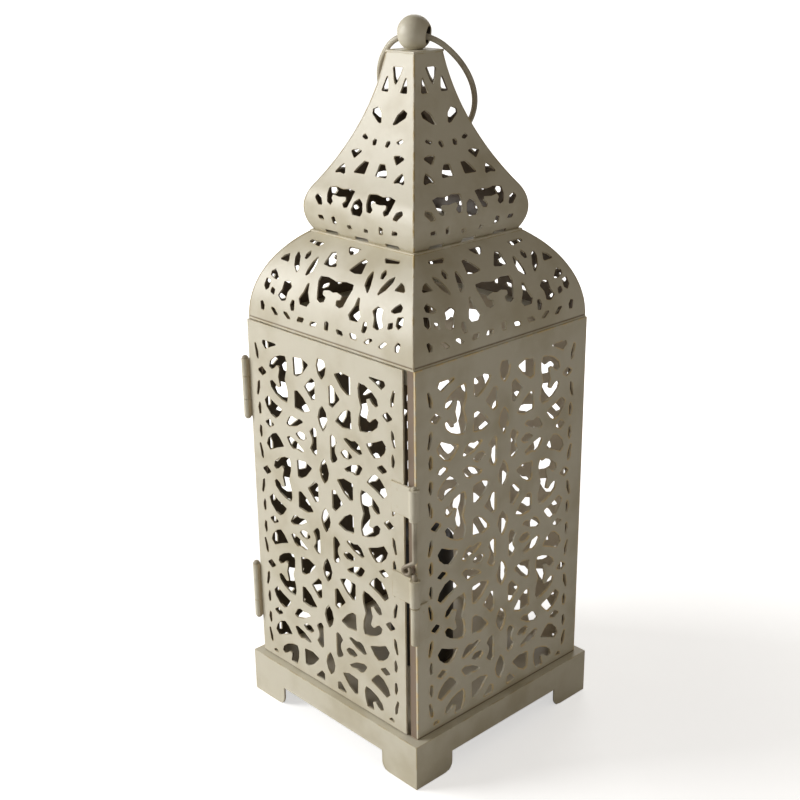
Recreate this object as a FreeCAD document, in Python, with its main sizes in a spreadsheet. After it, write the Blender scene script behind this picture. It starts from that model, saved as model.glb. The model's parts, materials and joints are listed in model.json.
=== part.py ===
import FreeCAD, Part
import math
import os
from FreeCAD import Placement, Rotation, Vector

# Pierced sheet-metal candle lantern: square body with a hinged door, domed
# roof, flared spire, ball finial and hanging ring.
# Frame: +Z up, origin on the ground under the middle of the base. The door
# faces -Y, its hinges stand at -X and its drop bolt at +X.

doc = FreeCAD.newDocument("Lantern")
sheet = doc.addObject("Spreadsheet::Sheet", "Sizes")

DRIVING_SIZES = [
    # body and base
    ("body_width", 120.0, "outside width of the square body"),
    ("body_height", 190.9, "deck to the underside of the seam plate"),
    ("sheet_gauge", 1.0, "sheet of walls, deck and frame"),
    ("base_overhang", 4.3, "ledge of the base round the body"),
    ("base_height", 24.4, "ground to the top of the deck"),
    ("skirt_depth", 13.2, "skirt height between the feet"),
    ("foot_width", 24.6, "width of a corner foot along each side"),
    ("foot_corner", 5.0, "rounding of a foot's inner lower corner"),
    ("post_leg", 8.0, "leg of a corner post's angle"),
    ("strike_leg", 4.0, "short front leg of the post beside the bolt"),
    ("seam_inset", 0.5, "seam plate inside the body's face"),
    ("seam_rim", 9.0, "width of the seam plate's rim"),
    ("lintel_depth", 8.0, "down-turned leg of the seam frame"),
    # door and its hinges
    ("door_gap", 0.4, "clear gap round and behind the door"),
    ("door_post_gap", 6.7, "door's free edge to the body's side"),
    ("hinge_radius", 2.0, "outside of the rolled hinge barrel"),
    ("hinge_length", 31.0, "height of one hinge"),
    ("hinge_knuckle", 12.0, "height of the door's knuckle"),
    ("hinge_low", 61.8, "middle of the lower hinge above ground"),
    ("hinge_high", 178.2, "middle of the upper hinge above ground"),
    ("hinge_clear", 0.1, "barrel clear of the wall"),
    ("hinge_leaf", 9.0, "leaf of the hinge on the side wall"),
    ("pin_radius", 0.9, "hinge pin"),
    ("pin_head", 1.8, "round head of the hinge pin"),
    ("running_gap", 0.08, "radial play of pins and bolt"),
    # drop bolt
    ("bolt_radius", 1.25, "wire of the drop bolt"),
    ("bolt_outset", 1.4, "bolt outside the right wall's face"),
    ("bolt_forward", 1.1, "bolt in front of the door's face"),
    ("bolt_foot", 81.5, "lower end of the bolt above ground"),
    ("bolt_top", 161.4, "upper end of the bolt above ground"),
    ("eye_height", 117.6, "middle of the bolt's finger eye"),
    ("eye_radius", 2.6, "finger eye, middle of its wire"),
    ("eye_wire", 0.8, "wire radius of the finger eye"),
    ("guide_radius", 2.5, "outside of the door's bolt guides"),
    ("guide_high", 152.1, "middle of the upper guide"),
    ("guide_high_length", 15.6, "height of the upper guide"),
    ("guide_low", 106.9, "middle of the lower guide"),
    ("guide_low_length", 13.8, "height of the lower guide"),
    ("keeper_radius", 2.1, "outside of the keeper tube"),
    ("keeper_middle", 89.4, "middle of the keeper tube"),
    ("keeper_length", 19.2, "height of the keeper tube"),
    ("latch_leaf", 9.0, "leaf that carries a guide or keeper"),
    # dome and neck
    ("dome_inset", 0.6, "dome's foot inside the body's face"),
    ("dome_radius", 52.3, "radius of the dome's curved wall"),
    ("dome_rise", 43.2, "dome's foot to its top edge"),
    ("neck_opening", 27.0, "half width of the neck's opening"),
    ("neck_flange", 5.0, "down-turned flange in the neck"),
    ("vent_height", 1.5, "vents under the spire's foot"),
    ("vent_width", 9.0, "width of one vent"),
    ("vent_spacing", 21.3, "middle of one vent to the next"),
    # spire, cap and ball
    ("spire_height", 83.8, "neck plate to the spire's top edge"),
    ("spire_top_half", 9.4, "half width at the spire's top"),
    ("spire_lean", 9.5, "lean of the wall at the top, degrees"),
    ("spire_flare", 35.5, "lean of the wall where it swells, degrees"),
    ("flare_radius", 150.0, "hollow curve of the spire's wall"),
    ("swell_radius", 18.2, "round swell over the spire's foot"),
    ("cap_lip", 0.3, "cap plate beyond the spire's top"),
    ("ball_radius", 8.2, "ball finial"),
    ("ball_sink", 0.8, "flat under the ball"),
    ("ball_bore", 4.25, "cross hole for the ring"),
    ("rivet_radius", 2.2, "rivet that holds the ball and cap"),
    ("rivet_head", 4.0, "head of the rivet, under the cap"),
    ("rivet_sink", 0.3, "rivet's end below the cross hole"),
    # hanging ring
    ("ring_wire", 1.4, "wire radius of the ring"),
    ("ring_half_width", 23.4, "half width of the oval, wire middle"),
    ("ring_half_height", 33.0, "half height of the oval, wire middle"),
    ("ring_end_radius", 18.0, "radius of the oval's two ends"),
    ("ring_turn", 28.0, "turn of ball and ring about Z, degrees"),
    ("ring_lean", 35.5, "lean of the resting ring, degrees"),
    ("ring_drop", 0.9, "cross hole and ring's pivot below the ball's middle"),
    # pierced pattern
    ("row_period", 54.2, "height of one repeat of the pattern"),
    ("first_row", 2.8, "first hook row above the panel's foot"),
    ("panel_margin", 8.4, "plain border at a fixed panel's sides"),
    ("door_margin", 5.0, "plain border at the door's sides"),
    ("foot_margin", 3.3, "plain border at a panel's foot"),
    ("head_margin", 8.6, "plain border at a panel's head"),
    ("hole_corner", 0.7, "rounding of the holes' corners"),
    ("smallest_hole", 5.0, "area under which a cut-off hole is left out, mm2"),
    # candle
    ("candle_radius", 17.0, "pillar candle"),
    ("candle_height", 72.0, "pillar candle"),
    ("candle_edge", 2.5, "rounded rim of the candle"),
    ("wick_radius", 0.9, "candle wick"),
    ("wick_height", 9.0, "wick above the wax"),
    ("wick_depth", 12.0, "wick inside the wax"),
    ("candle_shift", 2.5, "candle's middle off the lantern's, in X"),
]
for row, (alias, value, note) in enumerate(DRIVING_SIZES, start=1):
    sheet.set("A%d" % row, str(value))
    sheet.set("B%d" % row, note)
    sheet.setAlias("A%d" % row, alias)
doc.recompute()

ALIASES = {alias for alias, _value, _note in DRIVING_SIZES}
PIECES = []
ORIGIN = Vector(0, 0, 0)
UP = Vector(0, 0, 1)
QUARTER_TURNS = (("front", 0), ("right", 90), ("back", 180), ("left", 270))
# longest share of a side that a rounded corner may take from each end
CORNER_SHARE = 0.45


def size(alias):
    """Value of a driving size."""
    return float(sheet.get(alias))


def expr(text):
    """Expression in which each known alias points at the sheet."""
    words = []
    word = ""
    for letter in text + " ":
        if letter.isalnum() or letter == "_":
            word += letter
            continue
        words.append("Sizes." + word if word in ALIASES else word)
        words.append(letter)
        word = ""
    return "".join(words).strip()


# --- places worked out from the driving sizes -----------------------------

HALF = size("body_width") / 2
GAUGE = size("sheet_gauge")
DECK = size("base_height")
BODY_TOP = DECK + size("body_height")
SEAM_TOP = BODY_TOP + GAUGE
DOME_HALF = HALF - size("dome_inset")
DOME_CENTRE = DOME_HALF - size("dome_radius")
DOME_SWEEP = math.asin(size("dome_rise") / size("dome_radius"))
DOME_TOP = SEAM_TOP + size("dome_rise")
NECK_HALF = DOME_CENTRE + size("dome_radius") * math.cos(DOME_SWEEP)
SPIRE_FOOT = DOME_TOP + GAUGE
SPIRE_TOP = SPIRE_FOOT + size("spire_height")
CAP_TOP = SPIRE_TOP + GAUGE
BALL_MIDDLE = CAP_TOP + size("ball_radius") - size("ball_sink")
RING_PIVOT = BALL_MIDDLE - size("ring_drop")
DOOR_BACK = -HALF + GAUGE - size("door_gap")
DOOR_FACE = DOOR_BACK - GAUGE
DOOR_LEFT = -HALF + size("door_gap") / 4
DOOR_RIGHT = HALF - size("door_post_gap")

# the same places as expressions on the sheet
DOOR_LEFT_TEXT = "(door_gap / 4 - body_width / 2)"
DOOR_BACK_TEXT = "(sheet_gauge - body_width / 2 - door_gap)"
DOOR_FACE_TEXT = "(%s - sheet_gauge)" % DOOR_BACK_TEXT
HINGE_X_TEXT = "(-body_width / 2 - hinge_radius - hinge_clear)"
HINGE_Y_TEXT = "(%s - hinge_radius)" % DOOR_BACK_TEXT
SPIRE_TOP_TEXT = "(base_height + body_height + dome_rise + spire_height + 2 * sheet_gauge)"
BOLT_X_TEXT = "(body_width / 2 + bolt_outset)"
BOLT_Y_TEXT = "(%s - bolt_forward)" % DOOR_FACE_TEXT


# --- helpers ----------------------------------------------------------------

def bind(obj, **expressions):
    """Ties properties of an object to the sheet (x, y, z are its place)."""
    places = {"x": "Placement.Base.x", "y": "Placement.Base.y", "z": "Placement.Base.z"}
    for name, text in expressions.items():
        obj.setExpression(places.get(name, name), expr(text))
    return obj


def box(name, length, width, height, x, y, z):
    """Part::Box with its size and place bound to the sheet."""
    obj = doc.addObject("Part::Box", name)
    return bind(obj, Length=length, Width=width, Height=height, x=x, y=y, z=z)


def cylinder(name, radius, height, x="0", y="0", z="0"):
    """Upright Part::Cylinder bound to the sheet."""
    obj = doc.addObject("Part::Cylinder", name)
    return bind(obj, Radius=radius, Height=height, x=x, y=y, z=z)


def cut(name, base, tool):
    """Part::Cut of two objects."""
    obj = doc.addObject("Part::Cut", name)
    obj.Base = base
    obj.Tool = tool
    return obj


def fuse(name, *objects):
    """Part::MultiFuse of objects, without the inner seams."""
    obj = doc.addObject("Part::MultiFuse", name)
    obj.Shapes = list(objects)
    obj.Refine = True
    return obj


def feature(name, shape, placement=None):
    """Part::Feature that holds a shape made by Part's functions."""
    obj = doc.addObject("Part::Feature", name)
    obj.Shape = shape
    if placement is not None:
        obj.Placement = placement
    return obj


def extrusion(name, base, direction, length, symmetric=False):
    """Part::Extrusion of a face with its length bound to the sheet."""
    obj = doc.addObject("Part::Extrusion", name)
    obj.Base = base
    obj.DirMode = "Custom"
    obj.Dir = direction
    obj.Solid = True
    obj.Symmetric = symmetric
    return bind(obj, LengthFwd=length)


def piece(obj, label):
    """Names a finished piece and lists it for export."""
    obj.Label = label
    PIECES.append(obj)
    return obj


def turned(angle, lift=0.0):
    """Placement turned about the upright axis."""
    return Placement(Vector(0, 0, lift), Rotation(UP, angle))


def mirrored(points):
    """Outline closed by its mirror image across the row line (v = 0)."""
    return points + [(u, -v) for u, v in reversed(points) if abs(v) > 1e-9]


def moved(points, du=0.0, dv=0.0, flip_u=False, flip_v=False):
    """Copy of an outline, flipped and then moved."""
    su = -1 if flip_u else 1
    sv = -1 if flip_v else 1
    return [(su * u + du, sv * v + dv) for u, v in points]


def clipped(points, low, high):
    """Outline cut off below v = low and above v = high."""
    for limit, keep in ((low, 1), (high, -1)):
        result = []
        for k, (u1, v1) in enumerate(points):
            u0, v0 = points[k - 1]
            inside0 = keep * (v0 - limit) >= 0
            inside1 = keep * (v1 - limit) >= 0
            if inside0 != inside1:
                t = (limit - v0) / (v1 - v0)
                result.append((u0 + t * (u1 - u0), limit))
            if inside1:
                result.append((u1, v1))
        points = result
    return points


def area(points):
    """Area of an outline."""
    total = 0.0
    for k, (u1, v1) in enumerate(points):
        u0, v0 = points[k - 1]
        total += u0 * v1 - u1 * v0
    return abs(total) / 2


def rounded_wire(points, radius, place):
    """Closed wire of lines and corner arcs through an outline.

    place turns a point (u, v) of the outline into a Vector.
    """
    corners = [Vector(u, v, 0) for u, v in points]
    count = len(corners)
    starts, middles, ends = [], [], []
    for k in range(count):
        here = corners[k]
        before = corners[k - 1] - here
        after = corners[(k + 1) % count] - here
        half_turn = before.getAngle(after) / 2
        reach = min(radius / math.tan(half_turn), CORNER_SHARE * min(before.Length, after.Length))
        before.normalize()
        after.normalize()
        inner = reach / math.cos(half_turn)
        bisector = (before + after).normalize()
        middle = here + bisector * (inner - reach * math.tan(half_turn))
        starts.append(here + before * reach)
        middles.append(middle)
        ends.append(here + after * reach)
    edges = []
    for k in range(count):
        p1, p2, p3 = [place(p.x, p.y) for p in (starts[k], middles[k], ends[k])]
        edges.append(Part.Arc(p1, p2, p3).toShape())
        p4 = place(starts[(k + 1) % count].x, starts[(k + 1) % count].y)
        edges.append(Part.LineSegment(p3, p4).toShape())
    return Part.Wire(edges)


# --- pierced pattern ------------------------------------------------------------
# u runs outward from the panel's stem, v upward from a row of hooks, in mm.
# Every motif is mirrored left and right, and up and down about each row.

PATTERN_REACH = 51.6
HOOK = mirrored([
    (33.4, 0), (32.4, 3.6), (32.2, 5.2), (34.3, 5.8), (36.2, 3.9), (38.4, 2.8), (40.3, 3.9),
    (39.4, 6.9), (35.8, 9.8), (31.2, 11.7), (27.2, 12.2), (26.2, 9.2), (26.5, 5.2), (28.2, 0)])
ARROW = mirrored([(13.3, 0), (7.6, 5.8), (5.2, 4.8)])
ROW_DIAMOND = mirrored([(50.0, 0), (46.2, 2.6), (42.5, 0)])
STEM_LENS = [(0, 6.4), (2.6, 9.4), (3.6, 13.2), (2.4, 17.0), (0, 20.2), (-2.4, 17.0),
             (-3.6, 13.2), (-2.6, 9.4)]
TALL_SLIT = mirrored([(8.5, 0), (8.8, 1.8), (10.4, 4.3), (8.4, 6.6), (6.2, 7.5), (5.1, 5.8)])
MID_LENS = mirrored([(21.6, 0), (18.6, 2.1), (15.2, 2.1), (12.4, 0)])
MID_DIAMOND = mirrored([(46.0, 0), (42.2, 2.3), (38.0, 0)])
FREE_MOTIFS = {
    "triangle": [(9.2, 12.0), (14.2, 6.3), (18.6, 3.6), (20.9, 4.0), (21.2, 13.2), (14.6, 13.9)],
    "leaf": [(14.6, 19.2), (17.2, 18.3), (20.8, 19.0), (23.6, 18.2), (26.0, 19.4), (28.6, 23.6),
             (26.2, 24.5), (20.6, 22.9)],
    "wedge": [(31.0, 17.2), (38.0, 14.6), (42.6, 12.3), (45.3, 15.0), (44.0, 18.4), (40.4, 21.9),
              (37.0, 23.1), (34.2, 21.2)],
    "low_slit": [(48.6, 5.0), (50.4, 6.8), (51.6, 13.6), (50.4, 14.2), (48.6, 9.6)],
    "high_slit": [(49.6, 16.6), (51.0, 20.6), (50.2, 24.4), (48.7, 23.6), (48.6, 19.0)],
}


def body_pattern(width, margin):
    """Outlines of the holes of a flat panel, with v from the panel's foot."""
    period = size("row_period")
    stretch = (width / 2 - margin) / PATTERN_REACH
    low = size("foot_margin")
    high = size("body_height") - size("head_margin")
    rows = range(-1, int(size("body_height") / period) + 2)
    outlines = []
    for row in rows:
        v0 = size("first_row") + row * period
        for flip_v in (False, True):
            outlines.append(moved(STEM_LENS, 0, v0, False, flip_v))
        for flip_u in (False, True):
            for motif in (HOOK, ARROW, ROW_DIAMOND):
                outlines.append(moved(motif, 0, v0, flip_u))
            for motif in (TALL_SLIT, MID_LENS, MID_DIAMOND):
                outlines.append(moved(motif, 0, v0 + period / 2, flip_u))
            for motif in FREE_MOTIFS.values():
                for flip_v in (False, True):
                    outlines.append(moved(motif, 0, v0, flip_u, flip_v))
    kept = []
    for outline in outlines:
        outline = clipped([(u * stretch, v) for u, v in outline], low, high)
        if len(outline) > 2 and area(outline) > size("smallest_hole"):
            kept.append(outline)
    return kept


def pierced_face(x0, x1, z0, z1, outlines, middle):
    """Upright face in the XZ plane with holes about the line x = middle."""
    corners = [Vector(x0, 0, z0), Vector(x1, 0, z0), Vector(x1, 0, z1), Vector(x0, 0, z1)]
    rim = Part.makePolygon(corners + corners[:1])

    def place(u, v):
        return Vector(middle + u, 0, z0 + v)

    holes = [rounded_wire(outline, size("hole_corner"), place) for outline in outlines]
    return Part.makeFace([rim] + holes, "Part::FaceMakerCheese")


# --- base ---------------------------------------------------------------------

def make_base():
    """Folded tray: deck, four skirts and the corner feet in one sheet."""
    half = "(body_width / 2 + base_overhang)"
    outer = box("BaseBlock", "2 * " + half, "2 * " + half, "base_height",
                "-" + half, "-" + half, "0")
    inner = box("BaseHollow", "2 * (%s - sheet_gauge)" % half, "2 * (%s - sheet_gauge)" % half,
                "base_height - sheet_gauge", "sheet_gauge - " + half, "sheet_gauge - " + half, "0")
    shell = cut("BaseShell", outer, inner)
    reach = HALF + size("base_overhang")
    notch_half = reach - size("foot_width")
    top = size("base_height") - size("skirt_depth")
    corner = size("foot_corner")
    bend = corner * (1 - math.sqrt(0.5))
    points = [Vector(-notch_half - corner, 0, 0), Vector(-notch_half, 0, corner),
              Vector(-notch_half, 0, top), Vector(notch_half, 0, top),
              Vector(notch_half, 0, corner), Vector(notch_half + corner, 0, 0)]
    left_arc = Part.Arc(points[0], Vector(-notch_half - bend, 0, bend), points[1]).toShape()
    right_arc = Part.Arc(points[4], Vector(notch_half + bend, 0, bend), points[5]).toShape()
    lines = [Part.LineSegment(a, b).toShape()
             for a, b in ((points[1], points[2]), (points[2], points[3]), (points[3], points[4]),
                          (points[5], points[0]))]
    notch = Part.Face(Part.Wire([left_arc] + lines[:3] + [right_arc, lines[3]]))
    across = feature("NotchFace", notch)
    tool_y = extrusion("NotchY", across, Vector(0, 1, 0), "2 * body_width", True)
    along = feature("NotchFaceTurned", notch, turned(90))
    tool_x = extrusion("NotchX", along, Vector(1, 0, 0), "2 * body_width", True)
    tray = cut("BaseNotchedY", shell, tool_y)
    piece(cut("BaseTray", tray, tool_x), "base_tray")


# --- body frame ------------------------------------------------------------------

def make_posts():
    """Four corner angles, welded inside the walls; one has a short leg."""
    side = "(body_width / 2 - sheet_gauge)"
    for name, angle, width in (("front_left", 0, "post_leg"), ("front_right", 90, "strike_leg"),
                               ("back_right", 180, "post_leg"), ("back_left", 270, "post_leg")):
        full = box("PostBlock_" + name, "post_leg", width, "body_height",
                   "-" + side, "-" + side, "base_height")
        hollow = box("PostHollow_" + name, "post_leg", "post_leg", "body_height",
                     "sheet_gauge - " + side, "sheet_gauge - " + side, "base_height")
        post = cut("Post_" + name, full, hollow)
        post.Placement = turned(angle)
        piece(post, "corner_post_" + name)


def make_seam_frame():
    """Flat square rim over the walls, with a leg turned down inside them."""
    rim = "(body_width / 2 - seam_inset)"
    plate = box("SeamPlate", "2 * " + rim, "2 * " + rim, "sheet_gauge",
                "-" + rim, "-" + rim, "base_height + body_height")
    inner = "(body_width / 2 - seam_rim)"
    hole = box("SeamHole", "2 * " + inner, "2 * " + inner, "3 * sheet_gauge",
               "-" + inner, "-" + inner, "base_height + body_height - sheet_gauge")
    rim_ring = cut("SeamRim", plate, hole)
    side = "(body_width / 2 - 2 * sheet_gauge)"
    leg = box("SeamLegBlock", "2 * " + side, "2 * " + side, "lintel_depth",
              "-" + side, "-" + side, "base_height + body_height - lintel_depth")
    inside = "(body_width / 2 - 3 * sheet_gauge)"
    leg_hole = box("SeamLegHole", "2 * " + inside, "2 * " + inside, "2 * lintel_depth",
                   "-" + inside, "-" + inside, "base_height + body_height - 1.5 * lintel_depth")
    leg_ring = cut("SeamLeg", leg, leg_hole)
    piece(fuse("SeamFrame", rim_ring, leg_ring), "seam_frame")


# --- walls -------------------------------------------------------------------------

def make_walls():
    """Three fixed pierced walls; the side walls close over the back wall."""
    outlines = body_pattern(size("body_width"), size("panel_margin"))
    places = (
        ("right_wall", 90, -HALF + GAUGE, HALF),
        ("back_wall", 180, -HALF + GAUGE, HALF - GAUGE),
        ("left_wall", 270, -HALF, HALF - GAUGE),
    )
    for name, angle, x0, x1 in places:
        face = feature(name + "_face", pierced_face(x0, x1, DECK, BODY_TOP, outlines, 0))
        face.Placement = Placement(Rotation(UP, angle).multVec(Vector(0, -HALF, 0)),
                                   Rotation(UP, angle))
        inward = Rotation(UP, angle).multVec(Vector(0, 1, 0))
        piece(extrusion(name + "_sheet", face, inward, "sheet_gauge"), name)


def make_door():
    """Pierced door leaf, proud of the frame by the door gap."""
    gap = size("door_gap")
    outlines = body_pattern(DOOR_RIGHT - DOOR_LEFT, size("door_margin"))
    face = feature("door_face", pierced_face(
        DOOR_LEFT, DOOR_RIGHT, DECK + gap, BODY_TOP - gap,
        [[(u, v - gap) for u, v in outline] for outline in outlines],
        (DOOR_LEFT + DOOR_RIGHT) / 2))
    face.Placement = Placement(Vector(0, DOOR_FACE, 0), Rotation())
    piece(extrusion("door_sheet", face, Vector(0, 1, 0), "sheet_gauge"), "door_leaf")


# --- hinges ----------------------------------------------------------------------------

def barrel(name, middle, length, radius, bore, x, y):
    """Upright tube about (x, y), its length centred on a height."""
    low = "%s - (%s) / 2" % (middle, length)
    tube = cylinder(name + "_round", radius, length, str(x), str(y), low)
    hole = cylinder(name + "_bore", bore, "2 * (%s)" % length, str(x), str(y),
                    "%s - (%s)" % (middle, length))
    return tube, hole


def make_hinge(name, middle):
    """Rolled hinge: a leaf on the wall, a knuckle on the door and a pin."""
    bore = "pin_radius + running_gap"
    round_door, hole_door = barrel(name + "_door", middle, "hinge_knuckle", "hinge_radius", bore,
                                   HINGE_X_TEXT, HINGE_Y_TEXT)
    tab = box(name + "_door_tab", "%s - %s" % (DOOR_LEFT_TEXT, HINGE_X_TEXT), "sheet_gauge",
              "hinge_knuckle", HINGE_X_TEXT, DOOR_FACE_TEXT,
              "%s - hinge_knuckle / 2" % middle)
    knuckle = cut(name + "_door_knuckle", fuse(name + "_door_body", round_door, tab), hole_door)
    piece(knuckle, name + "_door_knuckle")

    gap = "running_gap * 3"
    round_wall, hole_wall = barrel(name + "_wall", middle, "hinge_length", "hinge_radius",
                                   "pin_radius", HINGE_X_TEXT, HINGE_Y_TEXT)
    leaf = box(name + "_leaf", "sheet_gauge", "hinge_leaf", "hinge_length",
               "-body_width / 2 - sheet_gauge", HINGE_Y_TEXT, "%s - hinge_length / 2" % middle)
    slot_height = "(hinge_knuckle + 2 * %s)" % gap
    slot = box(name + "_slot", "3 * hinge_radius", "3 * hinge_radius - door_gap",
               slot_height, "%s - 1.5 * hinge_radius" % HINGE_X_TEXT,
               "%s - 1.7 * hinge_radius" % HINGE_Y_TEXT, "%s - %s / 2" % (middle, slot_height))
    body = cut(name + "_wall_slotted", fuse(name + "_wall_body", round_wall, leaf), slot)
    piece(cut(name + "_wall_leaf", body, hole_wall), name + "_wall_leaf")

    shaft = cylinder(name + "_shaft", "pin_radius", "hinge_length", HINGE_X_TEXT, HINGE_Y_TEXT,
                     "%s - hinge_length / 2" % middle)
    heads = []
    for end, sign in (("top", "+"), ("foot", "-")):
        head = doc.addObject("Part::Sphere", name + "_head_" + end)
        bind(head, Radius="pin_head", x=HINGE_X_TEXT, y=HINGE_Y_TEXT,
             z="%s %s hinge_length / 2" % (middle, sign))
        if sign == "+":
            head.Angle1 = 0
        else:
            head.Angle2 = 0
        heads.append(head)
    piece(fuse(name + "_pin", shaft, *heads), name + "_pin")


# --- drop bolt ----------------------------------------------------------------------------

def make_guide(name, middle, length):
    """Rolled guide for the bolt on a leaf welded to the door's face."""
    tube, hole = barrel(name, middle, length, "guide_radius", "bolt_radius + running_gap",
                        BOLT_X_TEXT, BOLT_Y_TEXT)
    leaf = box(name + "_leaf", "latch_leaf + door_post_gap", "sheet_gauge", length,
               "body_width / 2 - latch_leaf - door_post_gap + bolt_outset",
               DOOR_FACE_TEXT + " - sheet_gauge", "%s - (%s) / 2" % (middle, length))
    piece(cut(name, fuse(name + "_body", tube, leaf), hole), name)


def make_keeper():
    """Tube on the right wall that takes the bolt's foot."""
    tube, hole = barrel("keeper", "keeper_middle", "keeper_length", "keeper_radius",
                        "bolt_radius + running_gap", BOLT_X_TEXT, BOLT_Y_TEXT)
    leaf = box("keeper_leaf", "sheet_gauge", "latch_leaf", "keeper_length",
               "body_width / 2", BOLT_Y_TEXT, "keeper_middle - keeper_length / 2")
    piece(cut("bolt_keeper", fuse("keeper_body", tube, leaf), hole), "bolt_keeper")


def make_bolt():
    """Wire bolt with a finger eye between its two guides."""
    rod = cylinder("bolt_rod", "bolt_radius", "bolt_top - bolt_foot",
                   BOLT_X_TEXT, BOLT_Y_TEXT, "bolt_foot")
    eye = doc.addObject("Part::Torus", "bolt_eye")
    bind(eye, Radius1="eye_radius", Radius2="eye_wire",
         x="%s - eye_radius - bolt_radius / 2" % BOLT_X_TEXT,
         y="%s - eye_radius / 4" % BOLT_Y_TEXT, z="eye_height")
    eye.Placement.Rotation = Rotation(Vector(1, 0, 0), 90)
    piece(fuse("drop_bolt", rod, eye), "drop_bolt")


# --- curved panels ------------------------------------------------------------------------

def dome_point(arc, depth=0.0):
    """Point (half width, height) of the dome's wall and its outward normal."""
    angle = arc / size("dome_radius")
    radius = size("dome_radius") - depth
    point = (DOME_CENTRE + radius * math.cos(angle), SEAM_TOP + radius * math.sin(angle))
    return point, (math.cos(angle), math.sin(angle))


def spire_marks():
    """Key angles and places of the spire's wall, worked out from the top."""
    lean = math.radians(size("spire_lean"))
    flare = math.radians(size("spire_flare"))
    hollow = size("flare_radius")
    swell = size("swell_radius")
    bend_w = size("spire_top_half") + hollow * (math.cos(lean) - math.cos(flare))
    bend_z = SPIRE_TOP - hollow * (math.sin(flare) - math.sin(lean))
    swell_w = bend_w - swell * math.cos(flare)
    swell_z = bend_z - swell * math.sin(flare)
    curl = math.asin((swell_z - SPIRE_FOOT) / swell)
    return lean, flare, hollow, swell, swell_w, swell_z, curl


def spire_point(arc, depth=0.0):
    """Point of the spire's wall at an arc length above its foot, and normal."""
    lean, flare, hollow, swell, swell_w, swell_z, curl = spire_marks()
    swell_arc = swell * (curl + flare)
    if arc <= swell_arc:
        angle = arc / swell - curl
        radius = swell - depth
        point = (swell_w + radius * math.cos(angle), swell_z + radius * math.sin(angle))
        return point, (math.cos(angle), math.sin(angle))
    angle = flare - (arc - swell_arc) / hollow
    centre_w = swell_w + (swell + hollow) * math.cos(flare)
    centre_z = swell_z + (swell + hollow) * math.sin(flare)
    radius = hollow + depth
    point = (centre_w - radius * math.cos(angle), centre_z - radius * math.sin(angle))
    return point, (math.cos(angle), math.sin(angle))


def spire_length():
    """Arc length of the spire's wall from foot to top edge."""
    lean, flare, hollow, swell, _w, _z, curl = spire_marks()
    return swell * (curl + flare) + hollow * (flare - lean)


def wall_section(point_at, marks):
    """Closed section of a curved wall in the plane x = 0, facing -Y.

    point_at gives a point of the wall, marks are the arc lengths where its
    curves meet. Top and foot are cut level, so the walls stand flat.
    """
    def edges(depth, stops):
        result = []
        for low, high in zip(stops[:-1], stops[1:]):
            three = [point_at(a, depth)[0] for a in (low, (low + high) / 2, high)]
            result.append([Vector(0, -w, z) for w, z in three])
        return result

    outer = edges(0.0, marks)
    inner = edges(GAUGE, marks)
    parts = [Part.Arc(*arc).toShape() for arc in outer]
    parts.append(Part.LineSegment(outer[-1][2], inner[-1][2]).toShape())
    parts += [Part.Arc(arc[2], arc[1], arc[0]).toShape() for arc in reversed(inner)]
    parts.append(Part.LineSegment(inner[0][0], outer[0][0]).toShape())
    return Part.Face(Part.Wire(parts))


def hole_tools(outlines, point_at, depth):
    """Prisms through a curved wall, each square to the wall at its middle."""
    tools = []
    for outline in outlines:
        arc = sum(v for _u, v in outline) / len(outline)
        (half, height), (out_w, out_z) = point_at(arc)
        normal = Vector(0, -out_w, out_z)
        upward = Vector(0, out_z, out_w)
        middle = Vector(0, -half, height) + normal * depth

        def place(u, v):
            return middle + Vector(u, 0, 0) + upward * (v - arc)

        wire = rounded_wire(outline, size("hole_corner"), place)
        tools.append(Part.Face(wire).extrude(normal * (-2 * depth)))
    return Part.Compound(tools)


def both_sides(outlines):
    """Outlines with their mirror images."""
    return outlines + [moved(outline, flip_u=True) for outline in outlines]


def make_curved_walls(name, point_at, marks, outlines, extra_tool=None):
    """Four mitred walls that stand in a square, pierced alike."""
    section = feature(name + "_section", wall_section(point_at, marks))
    run = extrusion(name + "_run", section, Vector(1, 0, 0), "2 * body_width", True)
    reach = 2 * HALF
    wedge = Part.Face(Part.makePolygon([ORIGIN, Vector(-reach, -reach, 0),
                                        Vector(reach, -reach, 0), ORIGIN]))
    prism = feature(name + "_mitre", wedge.extrude(Vector(0, 0, 2 * SPIRE_TOP)))
    mitred = doc.addObject("Part::Common", name + "_mitred")
    mitred.Base = run
    mitred.Tool = prism
    tool = hole_tools(outlines, point_at, 3 * GAUGE)
    if extra_tool is not None:
        tool = Part.Compound([tool, extra_tool])
    first = cut(name + "_front", mitred, feature(name + "_holes", tool))
    doc.recompute()
    piece(first, name + "_front_wall")
    for side, angle in QUARTER_TURNS[1:]:
        piece(feature(name + "_" + side, first.Shape, turned(angle)), "%s_%s_wall" % (name, side))


# Dome holes: u across from the panel's middle, v along its curve, in mm, on a
# panel of the half width and the length that DOME_DRAWN gives.
DOME_DRAWN = (59.4, 50.9)
DOME_MIDDLE_MOTIFS = [
    [(-1.4, 5.2), (1.4, 5.2), (1.6, 9.0), (0, 9.8), (-1.6, 9.0)],
    [(-4.7, 47.8), (-2.2, 44.4), (0, 43.2), (2.2, 44.4), (4.7, 47.8)],
    [(-11.8, 29.6), (-12.2, 27.2), (-9.4, 18.4), (-7.0, 17.2), (-4.2, 18.0), (-3.8, 20.4),
     (-6.2, 21.2), (-6.6, 23.2), (-2.8, 24.0), (0, 23.4), (2.8, 24.0), (6.6, 23.2), (6.2, 21.2),
     (3.8, 20.4), (4.2, 18.0), (7.0, 17.2), (9.4, 18.4), (12.2, 27.2), (11.8, 29.6), (6.0, 30.0),
     (0, 28.8), (-6.0, 30.0)],
]
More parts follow.
